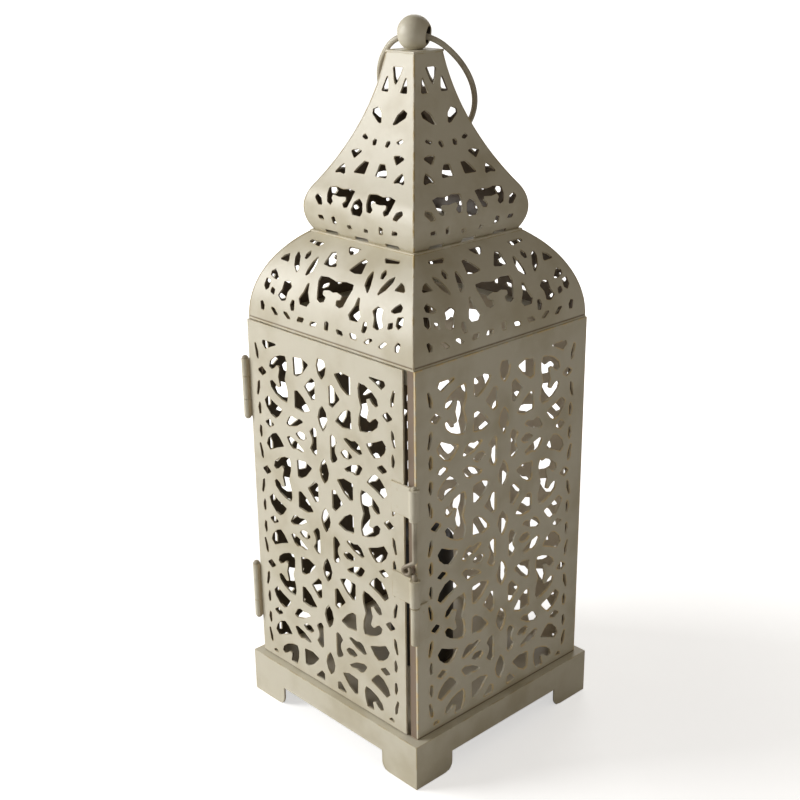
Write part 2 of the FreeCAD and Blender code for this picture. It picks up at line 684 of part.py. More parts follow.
DOME_PAIRED_MOTIFS = [
    [(6.6, 7.6), (8.0, 5.2), (12.6, 4.8), (11.2, 7.2)],
    [(15.8, 7.8), (17.6, 5.2), (22.4, 5.0), (20.6, 7.6)],
    [(25.8, 5.0), (28.8, 4.8), (33.2, 8.0), (29.6, 8.0)],
    [(35.6, 5.0), (38.6, 4.8), (42.6, 8.4), (39.2, 8.2)],
    [(47.2, 5.2), (49.4, 5.6), (50.6, 9.6), (48.6, 10.2), (46.8, 8.0)],
    [(24.2, 9.6), (26.6, 9.4), (27.8, 12.2), (26.8, 14.8), (24.8, 14.6)],
    [(17.4, 24.8), (16.6, 20.4), (13.8, 15.6), (15.6, 13.4), (20.6, 13.6), (22.2, 16.2),
     (20.0, 20.0), (18.8, 24.4)],
    [(28.8, 20.6), (31.4, 23.2), (35.4, 22.4), (35.6, 18.4), (37.8, 14.8), (34.4, 12.6),
     (31.4, 13.4), (31.0, 17.6)],
    [(39.6, 22.4), (42.8, 22.0), (46.6, 23.4), (46.8, 25.6), (44.4, 27.2), (41.6, 24.8)],
    [(45.2, 20.8), (49.0, 21.8), (49.6, 17.8), (47.6, 15.4), (45.4, 17.0)],
    [(40.6, 14.0), (44.0, 15.4), (43.4, 18.2), (40.6, 17.2)],
    [(19.4, 39.4), (18.0, 34.6), (18.4, 30.6), (22.6, 26.8), (22.4, 31.0), (21.4, 35.4)],
    [(28.0, 26.8), (32.6, 31.0), (34.8, 35.4), (34.6, 39.0), (31.4, 36.4), (29.0, 31.6)],
    [(26.6, 41.0), (25.0, 38.2), (26.0, 35.6), (28.0, 35.6), (28.4, 38.4)],
    [(37.4, 31.8), (44.8, 32.2), (42.2, 35.2), (39.4, 36.6)],
    [(4.2, 35.6), (8.2, 41.0), (10.2, 43.2), (12.8, 42.2), (13.6, 35.4), (9.0, 34.8)],
    [(20.6, 46.4), (23.8, 43.6), (32.0, 45.0), (31.0, 46.6)],
]

# Spire holes, on a wall of the widest half and the length that SPIRE_DRAWN gives.
SPIRE_DRAWN = (38.8, 91.5)
SPIRE_MIDDLE_MOTIFS = [
    [(-3.6, 85.2), (-1.8, 79.4), (0, 76.4), (1.8, 79.4), (3.6, 85.2)],
    [(-4.2, 15.4), (-2.8, 13.2), (2.8, 13.2), (4.2, 15.4), (3.0, 19.4), (0, 21.4), (-3.0, 19.4)],
]
SPIRE_PAIRED_MOTIFS = [
    [(3.9, 73.4), (8.9, 73.4), (7.4, 78.6), (6.3, 81.6), (5.2, 78.6)],
    [(3.6, 58.2), (6.2, 58.8), (11.4, 62.4), (11.8, 64.8), (8.6, 66.2), (5.4, 63.4)],
    [(3.0, 48.0), (5.2, 47.6), (6.2, 49.8), (5.2, 51.2), (3.4, 50.6)],
    [(9.2, 50.6), (11.4, 49.8), (14.6, 51.2), (12.6, 52.8)],
    [(10.4, 44.4), (14.6, 40.0), (19.0, 43.8), (14.8, 45.0)],
    [(16.4, 31.4), (20.4, 32.2), (24.6, 31.4), (22.2, 35.2), (20.2, 37.2), (18.2, 35.0)],
    [(3.6, 33.4), (11.8, 33.2), (9.8, 36.6), (7.2, 39.8), (3.6, 39.6)],
    [(4.8, 24.4), (5.4, 19.6), (6.8, 16.0), (9.4, 15.6), (10.8, 17.4), (8.8, 19.2), (9.4, 20.8),
     (14.2, 20.2), (18.6, 20.8), (19.0, 19.0), (17.4, 17.4), (18.8, 15.6), (21.4, 16.6),
     (22.8, 20.2), (23.2, 24.0), (18.8, 25.0), (14.2, 24.2), (9.4, 25.0)],
    [(24.4, 14.8), (27.6, 14.6), (31.0, 18.0), (29.6, 19.8), (26.2, 18.4)],
    [(3.8, 5.6), (6.8, 5.4), (7.8, 7.4), (4.8, 7.8)],
    [(14.8, 6.2), (17.6, 6.6), (18.2, 9.8), (15.6, 10.6)],
    [(23.4, 7.2), (27.2, 7.6), (28.4, 9.6), (24.6, 9.8)],
]


def fitted(outlines, drawn, actual):
    """Outlines stretched from the drawn panel's size to the actual one."""
    su = actual[0] / drawn[0]
    sv = actual[1] / drawn[1]
    return [[(u * su, v * sv) for u, v in outline] for outline in outlines]


def make_dome():
    """Dome of four curved walls on the seam plate."""
    length = size("dome_radius") * DOME_SWEEP
    outlines = DOME_MIDDLE_MOTIFS + both_sides(DOME_PAIRED_MOTIFS)
    make_curved_walls("dome", dome_point, [0.0, length],
                      fitted(outlines, DOME_DRAWN, (DOME_HALF, length)))


def make_spire():
    """Spire of four flared walls, with vents along its foot."""
    _lean, flare, _hollow, swell, swell_w, _z, curl = spire_marks()
    length = spire_length()
    bend = swell * (curl + flare)
    widest = swell_w + swell
    outlines = SPIRE_MIDDLE_MOTIFS + both_sides(SPIRE_PAIRED_MOTIFS)
    width = size("vent_width")
    vents = [Part.makeBox(width, HALF, size("vent_height"),
                          Vector(place * size("vent_spacing") - width / 2, -HALF, SPIRE_FOOT))
             for place in (-1, 0, 1)]
    make_curved_walls("spire", spire_point, [0.0, bend, length],
                      fitted(outlines, SPIRE_DRAWN, (widest, length)), Part.Compound(vents))


# --- neck, cap, ball and ring ------------------------------------------------------------

def make_neck():
    """Square plate on the dome with a flange turned down into it."""
    plate = Part.makeBox(2 * NECK_HALF, 2 * NECK_HALF, GAUGE,
                         Vector(-NECK_HALF, -NECK_HALF, DOME_TOP))
    opening = size("neck_opening")
    outer = opening + GAUGE
    flange = Part.makeBox(2 * outer, 2 * outer, size("neck_flange"),
                          Vector(-outer, -outer, DOME_TOP - size("neck_flange")))
    hole = Part.makeBox(2 * opening, 2 * opening, 4 * size("neck_flange"),
                        Vector(-opening, -opening, DOME_TOP - 2 * size("neck_flange")))
    piece(feature("neck", plate.fuse(flange).cut(hole).removeSplitter()), "neck_frame")


def make_cap():
    """Cap plate on the spire's top edge, with the rivet's hole."""
    half = "(spire_top_half + cap_lip)"
    plate = box("CapPlate", "2 * " + half, "2 * " + half, "sheet_gauge",
                "-" + half, "-" + half, SPIRE_TOP_TEXT)
    hole = cylinder("CapHole", "rivet_radius", "4 * sheet_gauge", "0", "0",
                    SPIRE_TOP_TEXT + " - sheet_gauge")
    piece(cut("SpireCap", plate, hole), "spire_cap")


def make_ball():
    """Ball finial, flat underneath, bored for the ring and for its rivet."""
    turn = Rotation(UP, size("ring_turn"))
    radius = size("ball_radius")
    ball = Part.makeSphere(radius, Vector(0, 0, BALL_MIDDLE))
    below = Part.makeBox(4 * radius, 4 * radius, 4 * radius,
                         Vector(-2 * radius, -2 * radius, CAP_TOP - 4 * radius))
    bore = Part.makeCylinder(size("ball_bore"), 4 * radius,
                             Vector(0, 0, RING_PIVOT) - turn.multVec(Vector(2 * radius, 0, 0)),
                             turn.multVec(Vector(1, 0, 0)))
    rivet_hole = Part.makeCylinder(size("rivet_radius"), BALL_MIDDLE - CAP_TOP,
                                   Vector(0, 0, CAP_TOP))
    piece(feature("ball", ball.cut(below).cut(bore).cut(rivet_hole)), "finial_ball")
    shank_top = RING_PIVOT - size("ball_bore") - size("rivet_sink")
    shank = Part.makeCylinder(size("rivet_radius"), shank_top - SPIRE_TOP + GAUGE,
                              Vector(0, 0, SPIRE_TOP - GAUGE))
    head = Part.makeCylinder(size("rivet_head"), GAUGE,
                             Vector(0, 0, SPIRE_TOP - GAUGE))
    piece(feature("rivet", shank.fuse(head).removeSplitter()), "finial_rivet")


def make_ring():
    """Oval wire ring through the ball, leaning back on the spire."""
    width = size("ring_half_width")
    height = size("ring_half_height")
    end = size("ring_end_radius")
    side = (width ** 2 + (height - end) ** 2 - end ** 2) / (2 * (width - end))
    lean = math.radians(size("ring_lean"))
    turn = Rotation(UP, size("ring_turn"))
    across = turn.multVec(Vector(1, 0, 0))
    down = turn.multVec(Vector(0, math.sin(lean), -math.cos(lean)))
    pivot = Vector(0, 0, RING_PIVOT)

    def place(u, v):
        return pivot + across * u + down * (height - v)

    top_centre = height - end
    join = math.atan2(top_centre, side - width)
    ju = end * math.cos(join)
    jv = top_centre + end * math.sin(join)
    arcs = [
        Part.Arc(place(ju, jv), place(0, height), place(-ju, jv)),
        Part.Arc(place(-ju, jv), place(-width, 0), place(-ju, -jv)),
        Part.Arc(place(-ju, -jv), place(0, -height), place(ju, -jv)),
        Part.Arc(place(ju, -jv), place(width, 0), place(ju, jv)),
    ]
    path = Part.Wire([arc.toShape() for arc in arcs])
    start = path.OrderedVertexes[0].Point
    tangent = path.OrderedEdges[0].tangentAt(path.OrderedEdges[0].FirstParameter)
    circle = Part.Wire(Part.makeCircle(size("ring_wire"), start, tangent))
    pipe = path.makePipeShell([circle], True, False)
    print("ring volume %.1f, wire section x length %.1f" % (
        pipe.Volume, math.pi * size("ring_wire") ** 2 * path.Length))
    piece(feature("ring", pipe), "hanging_ring")


# --- candle ------------------------------------------------------------------------------

def make_candle():
    """Pillar candle with a rounded rim, padded from a sketch, and its wick."""
    body = doc.addObject("PartDesign::Body", "Candle")
    sketch = body.newObject("Sketcher::SketchObject", "CandleFoot")
    plane = [f for f in body.Origin.OriginFeatures if f.Role == "XY_Plane"][0]
    sketch.AttachmentSupport = [(plane, "")]
    sketch.MapMode = "FlatFace"
    sketch.addGeometry(Part.Circle(ORIGIN, UP, size("candle_radius")), False)
    pad = body.newObject("PartDesign::Pad", "CandlePad")
    pad.Profile = sketch
    bind(pad, Length="candle_height")
    doc.recompute()
    top = [("Edge%d" % (k + 1)) for k, edge in enumerate(pad.Shape.Edges)
           if abs(edge.BoundBox.ZMin - size("candle_height")) < 1e-6
           and abs(edge.BoundBox.ZMax - size("candle_height")) < 1e-6]
    rim = body.newObject("PartDesign::Fillet", "CandleRim")
    rim.Base = (pad, top)
    bind(rim, Radius="candle_edge")
    doc.recompute()
    hole = body.newObject("PartDesign::SubtractiveCylinder", "WickHole")
    bind(hole, Radius="wick_radius", Height="wick_depth")
    hole.setExpression("AttachmentOffset.Base.z", expr("candle_height - wick_depth"))
    hole.AttachmentSupport = [(plane, "")]
    hole.MapMode = "FlatFace"
    body.Tip = hole
    bind(body, x="candle_shift", z="base_height")
    piece(body, "pillar_candle")
    wick = cylinder("Wick", "wick_radius", "wick_height + wick_depth", "candle_shift", "0",
                    "base_height + candle_height - wick_depth")
    piece(wick, "candle_wick")


make_base()
make_posts()
make_seam_frame()
make_walls()
make_door()
make_hinge("lower_hinge", "hinge_low")
make_hinge("upper_hinge", "hinge_high")
make_guide("bolt_guide_upper", "guide_high", "guide_high_length")
make_guide("bolt_guide_lower", "guide_low", "guide_low_length")
make_keeper()
make_bolt()
make_dome()
make_neck()
make_spire()
make_cap()
make_ball()
make_ring()
make_candle()
doc.recompute()

# --- checks and export --------------------------------------------------------------------

for obj in doc.Objects:
    if "Invalid" in obj.State or "Error" in obj.State:
        raise RuntimeError("failed object: %s %s" % (obj.Name, obj.State))
os.makedirs("parts", exist_ok=True)
for obj in PIECES:
    shape = obj.Shape
    if shape.isNull() or not shape.isValid() or not shape.Solids:
        raise RuntimeError("bad shape: %s" % obj.Label)
    print("%-28s solids %d faces %4d volume %10.1f" % (
        obj.Label, len(shape.Solids), len(shape.Faces), shape.Volume))
for obj in PIECES:
    obj.Shape.exportStep("parts/%s.step" % obj.Label)
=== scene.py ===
"""Studio scene of a pierced sheet-metal candle lantern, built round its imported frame."""

from __future__ import annotations

import json
import logging
import math
from dataclasses import dataclass
from enum import Enum

import bpy
import numpy as np
from mathutils import Matrix, Vector

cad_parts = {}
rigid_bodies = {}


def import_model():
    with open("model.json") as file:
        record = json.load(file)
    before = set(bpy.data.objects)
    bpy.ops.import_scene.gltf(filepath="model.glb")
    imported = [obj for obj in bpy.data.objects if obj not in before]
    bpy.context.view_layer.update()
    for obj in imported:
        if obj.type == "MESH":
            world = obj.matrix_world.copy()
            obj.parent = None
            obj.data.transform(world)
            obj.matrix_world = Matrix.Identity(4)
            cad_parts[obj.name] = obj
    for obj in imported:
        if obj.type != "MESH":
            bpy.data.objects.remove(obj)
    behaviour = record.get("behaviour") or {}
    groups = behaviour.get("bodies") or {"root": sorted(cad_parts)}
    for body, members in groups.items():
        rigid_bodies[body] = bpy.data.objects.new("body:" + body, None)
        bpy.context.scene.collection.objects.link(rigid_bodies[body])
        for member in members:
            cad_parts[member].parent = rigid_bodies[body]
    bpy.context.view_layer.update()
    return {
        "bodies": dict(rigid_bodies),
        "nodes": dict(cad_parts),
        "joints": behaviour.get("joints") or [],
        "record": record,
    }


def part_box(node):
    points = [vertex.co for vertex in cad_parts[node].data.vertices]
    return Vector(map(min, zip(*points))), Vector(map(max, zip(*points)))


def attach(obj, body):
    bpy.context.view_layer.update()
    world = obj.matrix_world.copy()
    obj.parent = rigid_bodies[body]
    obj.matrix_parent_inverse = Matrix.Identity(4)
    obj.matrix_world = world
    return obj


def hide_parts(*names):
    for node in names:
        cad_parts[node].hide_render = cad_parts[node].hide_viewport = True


LOG = logging.getLogger("lantern")
Colour = tuple[float, float, float]
Span = tuple[float, float]


class Body(str, Enum):
    """Bodies of the frame that the new pieces ride on."""

    FRAME = "lantern_frame"
    DOOR = "door"
    BOLT = "drop_bolt"
    CANDLE = "candle"


class Slot(str, Enum):
    """Material slots of the record; the new pieces are not given them here."""

    PAINT = "cream_paint"
    BOLT = "bolt_wire"
    WAX = "candle_wax"
    WICK = "wick_cotton"


# --- node graphs ------------------------------------------------------------------


class Graph:
    """A small builder for one material's nodes."""

    bump_strength: float = 0.6

    def __init__(self, name: str) -> None:
        """Starts an empty material.

        Args:
            name: the material's name.
        """
        self.material = bpy.data.materials.new(name)
        self.material.use_nodes = True
        self.nodes = self.material.node_tree.nodes
        self.links = self.material.node_tree.links
        self.nodes.clear()

    def add(self, kind: str, inputs: dict | None = None,
            **settings: object) -> bpy.types.Node:
        """Adds a node.

        Args:
            kind: the node's type, without its ShaderNode prefix.
            inputs: values or output sockets for its input sockets.
            settings: properties set on the node itself.

        Returns:
            The new node.
        """
        node = self.nodes.new("ShaderNode" + kind)
        for key, value in settings.items():
            setattr(node, key, value)
        for key, value in (inputs or {}).items():
            if isinstance(value, bpy.types.NodeSocket):
                self.links.new(value, node.inputs[key])
            else:
                node.inputs[key].default_value = value
        return node

    def math(self, operation: str, first: object, second: object = 0.0) -> bpy.types.NodeSocket:
        """Gives the output of a Math node on two sockets or numbers."""
        return self.add("Math", {0: first, 1: second}, operation=operation).outputs[0]

    def ramp(self, value: bpy.types.NodeSocket, low: float, high: float) -> bpy.types.NodeSocket:
        """Maps a value smoothly from 0 to 1.

        Args:
            value: the value's socket.
            low: where the result is 0.
            high: where the result is 1.

        Returns:
            Socket of the mapped value.
        """
        node = self.add("MapRange", {"Value": value, "From Min": low, "From Max": high},
                        interpolation_type="SMOOTHSTEP")
        return node.outputs[0]

    def mix(self, factor: object, first: object, second: object) -> bpy.types.NodeSocket:
        """Mixes two colours.

        Args:
            factor: socket or number, 0 for the first colour and 1 for the second.
            first: first colour or its socket.
            second: second colour or its socket.

        Returns:
            Socket of the mixed colour.
        """
        node = self.add("Mix", data_type="RGBA")
        for key, value in ((0, factor), (6, first), (7, second)):
            if isinstance(value, bpy.types.NodeSocket):
                self.links.new(value, node.inputs[key])
            else:
                node.inputs[key].default_value = (*value, 1.0) if key else value
        return node.outputs[2]

    def noise(self, coords: object, scale: float, detail: float = 3.0) -> bpy.types.NodeSocket:
        """Gives a noise value on coordinates, its scale in waves per metre."""
        inputs = {"Vector": coords, "Scale": scale, "Detail": detail}
        return self.add("TexNoise", inputs).outputs[0]

    def shader(self, colour: object, roughness: object, bump: object, depth: float,
               **values: float) -> bpy.types.Material:
        """Closes the graph with a Principled shader.

        Args:
            colour: base colour socket or colour.
            roughness: roughness socket or number.
            bump: height socket.
            depth: bump distance in metres.
            values: other values of the shader's own sockets.

        Returns:
            The finished material.
        """
        bumped = self.add("Bump", {"Height": bump, "Distance": depth,
                                   "Strength": self.bump_strength})
        main = self.add("BsdfPrincipled", {"Roughness": roughness, "Normal": bumped.outputs[0]})
        if isinstance(colour, bpy.types.NodeSocket):
            self.links.new(colour, main.inputs["Base Color"])
        else:
            main.inputs["Base Color"].default_value = (*colour, 1.0)
        for key, value in values.items():
            main.inputs[key.replace("_", " ")].default_value = value
        out = self.add("OutputMaterial")
        self.links.new(main.outputs[0], out.inputs[0])
        return self.material


# --- finishes ----------------------------------------------------------------------


@dataclass(frozen=True)
class PaintFinish:
    """Antique cream paint on sheet metal, rubbed gold-brown on its edges.

    The inward sides, which face the lantern's axis, take a colour of their
    own that is painted shade; painted shade darkens the lines where sheets
    meet; and a near black painted shade can fill the ball's cross hole.
    Lengths are in metres and noise scales in waves per metre.
    """

    name: str = "antique_cream_paint"
    cream: Colour = (0.66, 0.62, 0.50)
    stain: Colour = (0.55, 0.50, 0.37)
    rub: Colour = (0.44, 0.31, 0.09)
    # Painted shade colour for the lines where sheets meet.
    joint_shade: Colour = (0.16, 0.11, 0.06)
    # Painted shade colour for the faces that look inwards.
    inside_shade: Colour = (0.46, 0.38, 0.26)
    # Painted shade colour, near black, for the ball's cross hole.
    hole_shade: Colour = (0.02, 0.014, 0.010)
    cloud_scale: float = 38.0
    cloud_span: Span = (0.42, 0.72)
    wear_scale: float = 130.0
    wear_span: Span = (0.40, 0.58)
    speck_ratio: float = 6.0
    edge_reach: float = 0.0008
    edge_span: Span = (0.03, 0.30)
    edge_samples: int = 6
    rub_strength: float = 0.95
    ridge_rub: float = 0.0
    ridge_reach: float = 0.0009
    line_start: float = 0.0002
    # Heights, width and depth of the painted shade lines where sheets meet.
    joint_shade_heights: tuple[float, ...] = ()
    joint_shade_reach: float = 0.0011
    joint_shade_strength: float = 0.85
    inward_span: Span = (0.15, 0.45)
    upward_span: Span = (0.6, 0.9)
    # How far, and how strongly, the inward painted shade reaches over the deck within the walls.
    deck_top: float = 0.0
    deck_fade: float = 0.0006
    deck_shade_strength: float = 0.72
    # Where the painted shade fills the ball's cross hole.
    core_height: float = 0.0
    core_radius: float = 0.0
    core_fade: float = 0.97
    roughness: float = 0.44
    rough_swing: float = 0.14
    bump_depth: float = 0.00012
    cloud_bump: float = 2.0

    def build(self) -> bpy.types.Material:
        """Builds the paint.

        Returns:
            The material.
        """
        g = Graph(self.name)
        coords = g.add("TexCoord").outputs
        where, own_normal = coords["Object"], coords["Normal"]
        normal = g.add("NewGeometry").outputs["Normal"]
        place = g.add("SeparateXYZ", {0: where}).outputs
        cloud = g.noise(where, self.cloud_scale, 4.0)
        speck = g.noise(where, self.wear_scale * self.speck_ratio, 3.0)
        wear = g.ramp(g.noise(where, self.wear_scale, 4.0), *self.wear_span)
        colour = g.mix(g.ramp(cloud, *self.cloud_span), self.cream, self.stain)
        # Gold rub on edges; where its colour is made bright, as on the right wall, it is partly a
        # painted highlight.
        rub_and_edge_highlight = self.edge_mask(g, normal, wear)
        if self.ridge_rub:
            rub_and_edge_highlight = g.math("MAXIMUM", rub_and_edge_highlight, self.ridge_mask(g, place, wear))
        colour = g.mix(rub_and_edge_highlight, colour, self.rub)
        # Painted shade: a dark line at each given height, where sheets meet.
        for height in self.joint_shade_heights:
            away = g.math("ABSOLUTE", g.math("SUBTRACT", place[2], height))
            line = g.math("SUBTRACT", 1.0, g.ramp(away, self.line_start, self.joint_shade_reach))
            colour = g.mix(g.math("MULTIPLY", line, self.joint_shade_strength), colour, self.joint_shade)
        # Painted shade on the faces that look inwards.
        inward_shade = self.inside_shade_mask(g, where, own_normal, place)
        colour = g.mix(inward_shade, colour, self.inside_shade)
        # Painted shade: near black within the ball's cross hole.
        if self.core_radius:
            colour = g.mix(self.hole_shade_mask(g, where), colour, self.hole_shade)
        rough = g.math("MULTIPLY_ADD", speck, self.rough_swing)
        rough.node.inputs[2].default_value = self.roughness - self.rough_swing / 2
        height = g.math("ADD", speck, g.math("MULTIPLY", cloud, self.cloud_bump))
        return g.shader(colour, rough, height, self.bump_depth)

    def edge_mask(self, g: Graph, normal: bpy.types.NodeSocket,
                  wear: bpy.types.NodeSocket) -> bpy.types.NodeSocket:
        """Rub along sharp edges, where a rounded normal leaves the true one.

        Args:
            g: the graph.
            normal: the true normal.
            wear: broken-up wear value.

        Returns:
            Socket of the mask.
        """
        softened = g.add("Bevel", {"Radius": self.edge_reach}, samples=self.edge_samples)
        facing = g.add("VectorMath", {0: softened.outputs[0], 1: normal},
                       operation="DOT_PRODUCT").outputs["Value"]
        edge = g.ramp(g.math("SUBTRACT", 1.0, facing), *self.edge_span)
        return g.math("MULTIPLY", edge, g.math("MULTIPLY", wear, self.rub_strength))

    def ridge_mask(self, g: Graph, place: bpy.types.bpy_prop_collection,
                   wear: bpy.types.NodeSocket) -> bpy.types.NodeSocket:
        """Rub along the mitred corners, where |x| and |y| are alike.

        Args:
            g: the graph.
            place: sockets of the separated object coordinates.
            wear: broken-up wear value.

        Returns:
            Socket of the mask.
        """
        across = g.math("ABSOLUTE", g.math("SUBTRACT", g.math("ABSOLUTE", place[0]),
                                           g.math("ABSOLUTE", place[1])))
        line = g.math("SUBTRACT", 1.0, g.ramp(across, self.line_start, self.ridge_reach))
        return g.math("MULTIPLY", line, g.math("MULTIPLY", wear, self.ridge_rub))

    def inside_shade_mask(self, g: Graph, where: bpy.types.NodeSocket, normal: bpy.types.NodeSocket,
                    place: bpy.types.bpy_prop_collection) -> bpy.types.NodeSocket:
        """1 where a face looks towards the lantern's upright axis; such faces get painted shade.

        The flat part of the face's normal, times the flat part of its place
        made unit long, is negative on an inward face. With deck_top set, the
        deck's own top within the walls gets this painted shade too.

        Args:
            g: the graph.
            where: the object coordinates.
            normal: the face's normal in object coordinates.
            place: sockets of the separated object coordinates.

        Returns:
            Socket of the mask.
        """
        flat = g.add("VectorMath", {0: where, 1: (1.0, 1.0, 0.0)},
                     operation="MULTIPLY").outputs[0]
        unit = g.add("VectorMath", {0: flat}, operation="NORMALIZE").outputs[0]
        inward = g.add("VectorMath", {0: unit, 1: normal},
                       operation="DOT_PRODUCT").outputs["Value"]
        mask = g.ramp(g.math("MULTIPLY", inward, -1.0), *self.inward_span)
        if not self.deck_top:
            return mask
        # The deck's top within the walls gets part of this painted shade too.
        reach = g.math("MAXIMUM", g.math("ABSOLUTE", place[0]), g.math("ABSOLUTE", place[1]))
        within = g.math("SUBTRACT", 1.0,
                        g.ramp(reach, self.deck_top - self.deck_fade, self.deck_top))
        upward = g.ramp(g.add("SeparateXYZ", {0: normal}).outputs[2], *self.upward_span)
        deck = g.math("MULTIPLY", g.math("MULTIPLY", within, upward), self.deck_shade_strength)
        return g.math("MAXIMUM", mask, deck)

    def hole_shade_mask(self, g: Graph, where: bpy.types.NodeSocket) -> bpy.types.NodeSocket:
        """1 within core_radius of the axis at core_height, inside the ball's cross hole, where
        painted shade goes.

        Args:
            g: the graph.
            where: the object coordinates.

        Returns:
            Socket of the mask.
        """
        middle = (0.0, 0.0, self.core_height)
        out = g.add("VectorMath", {0: where, 1: middle}, operation="DISTANCE").outputs["Value"]
        fade = g.ramp(out, self.core_radius * self.core_fade, self.core_radius)
        return g.math("SUBTRACT", 1.0, fade)


@dataclass(frozen=True)
class WaxFinish:
    """Dark pillar wax with a soft sheen and a faint bloom."""

    name: str = "dark_wax"
    wax: Colour = (0.012, 0.011, 0.011)
    bloom: Colour = (0.035, 0.032, 0.030)
    cloud_scale: float = 90.0
    cloud_span: Span = (0.45, 0.75)
    roughness: float = 0.38
    bump_depth: float = 0.0002
    glow_through: float = 0.05

    def build(self) -> bpy.types.Material:
        """Builds the wax.

        Returns:
            The material.
        """
        g = Graph(self.name)
        where = g.add("TexCoord").outputs["Object"]
        cloud = g.noise(where, self.cloud_scale, 4.0)
        colour = g.mix(g.ramp(cloud, *self.cloud_span), self.wax, self.bloom)
        return g.shader(colour, self.roughness, cloud, self.bump_depth,
                        Subsurface_Weight=self.glow_through)


@dataclass(frozen=True)
class CottonFinish:
    """Waxed cotton wick, charred towards its tip."""

    name: str = "waxed_cotton"
    cotton: Colour = (0.30, 0.26, 0.20)
    char: Colour = (0.010, 0.009, 0.008)
    char_from: float = 0.0
    char_to: float = 1.0
    fibre_scale: float = 3000.0
    roughness: float = 0.9
    bump_depth: float = 0.0001

    def build(self) -> bpy.types.Material:
        """Builds the cotton.

        Returns:
            The material.
        """
        g = Graph(self.name)
        where = g.add("TexCoord").outputs["Object"]
        height = g.add("SeparateXYZ", {0: where}).outputs[2]
        fibre = g.noise(where, self.fibre_scale, 2.0)
        colour = g.mix(g.ramp(height, self.char_from, self.char_to), self.cotton, self.char)
        return g.shader(colour, self.roughness, fibre, self.bump_depth)


# --- meshes --------------------------------------------------------------------------


def grid_mesh(name: str, points: np.ndarray) -> bpy.types.Object:
    """Smooth mesh of a grid of points, its first and last rows closed by a fan.

    Each row holds the points round the shape; neighbouring rows are joined by
    four-sided faces, and a middle point closes each end.

    Args:
        name: the piece's name.
        points: array of rows x columns x 3, in metres.

    Returns:
        The new object, linked to the scene.
    """
    rows, columns = points.shape[:2]
    index = np.arange(rows * columns).reshape(rows, columns)
    lower, upper = index[:-1], index[1:]
    quads = np.stack([lower, np.roll(lower, -1, axis=1), np.roll(upper, -1, axis=1), upper], -1)
    ends = np.stack([points[0].mean(axis=0), points[-1].mean(axis=0)])
    vertices = np.concatenate([points.reshape(-1, 3), ends])
    middle = np.full(columns, rows * columns)
    start = np.stack([np.roll(index[0], -1), index[0], middle], axis=-1)
    finish = np.stack([index[-1], np.roll(index[-1], -1), middle + 1], axis=-1)
    faces = quads.reshape(-1, 4).tolist() + start.tolist() + finish.tolist()
    mesh = bpy.data.meshes.new(name)
    mesh.from_pydata(vertices.tolist(), [], faces)
    mesh.polygons.foreach_set("use_smooth", np.full(len(faces), True))
    mesh.update()
    piece = bpy.data.objects.new(name, mesh)
    bpy.context.scene.collection.objects.link(piece)
    return piece


def tube_points(path: np.ndarray, radius: np.ndarray | float, sides: int) -> np.ndarray:
    """Rings of a round tube carried along a path.

    Each ring lies square to the path's tangent; its two axes come from the
    tangent and a fixed guide direction that no tangent runs along.

    Args:
        path: array of n x 3 points.
        radius: one radius, or one for each point.
        sides: points in a ring.

    Returns:
        Array of n x sides x 3 points.
    """
    tangent = np.gradient(path, axis=0)
    tangent /= np.linalg.norm(tangent, axis=1, keepdims=True)
    guide = np.array([0.531, 0.847, 0.0213])
    side = np.cross(tangent, guide)
    side /= np.linalg.norm(side, axis=1, keepdims=True)
    up = np.cross(tangent, side)
    angle = np.linspace(0, 2 * np.pi, sides, endpoint=False)
    size = np.broadcast_to(np.asarray(radius, float), (len(path),))[:, None, None]
    cosine, sine = np.cos(angle)[None, :, None], np.sin(angle)[None, :, None]
    return path[:, None] + size * (cosine * side[:, None] + sine * up[:, None])


def turned_points(profile: np.ndarray, centre: tuple[float, float], sides: int) -> np.ndarray:
    """Rings of a turned shape.

    Each profile point (radius, height) is swung round an upright axis.

    Args:
        profile: array of n x 2 (radius, height).
        centre: place (x, y) of the axis.
        sides: points in a ring.

    Returns:
        Array of n x sides x 3 points.
    """
    angle = np.linspace(0, 2 * np.pi, sides, endpoint=False)
    x = centre[0] + profile[:, :1] * np.cos(angle)
    y = centre[1] + profile[:, :1] * np.sin(angle)
    z = np.broadcast_to(profile[:, 1:], x.shape)
    return np.stack([x, y, z], axis=-1)


def paint(piece: bpy.types.Object, material: bpy.types.Material) -> None:
    """Gives a piece one material in place of what it had.

    Args:
        piece: the object.
        material: its material.
    """
    piece.data.materials.clear()
    piece.data.materials.append(material)


def dress(piece: bpy.types.Object, material: bpy.types.Material, body: Body) -> None:
    """Gives a new piece its material and body.

    Args:
        piece: the finished object.
        material: its material.
        body: the body that it rides on.
    """
    paint(piece, material)
    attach(piece, body.value)
    LOG.info("piece %s: %d faces", piece.name, len(piece.data.polygons))


# --- sub-assemblies ------------------------------------------------------------------------


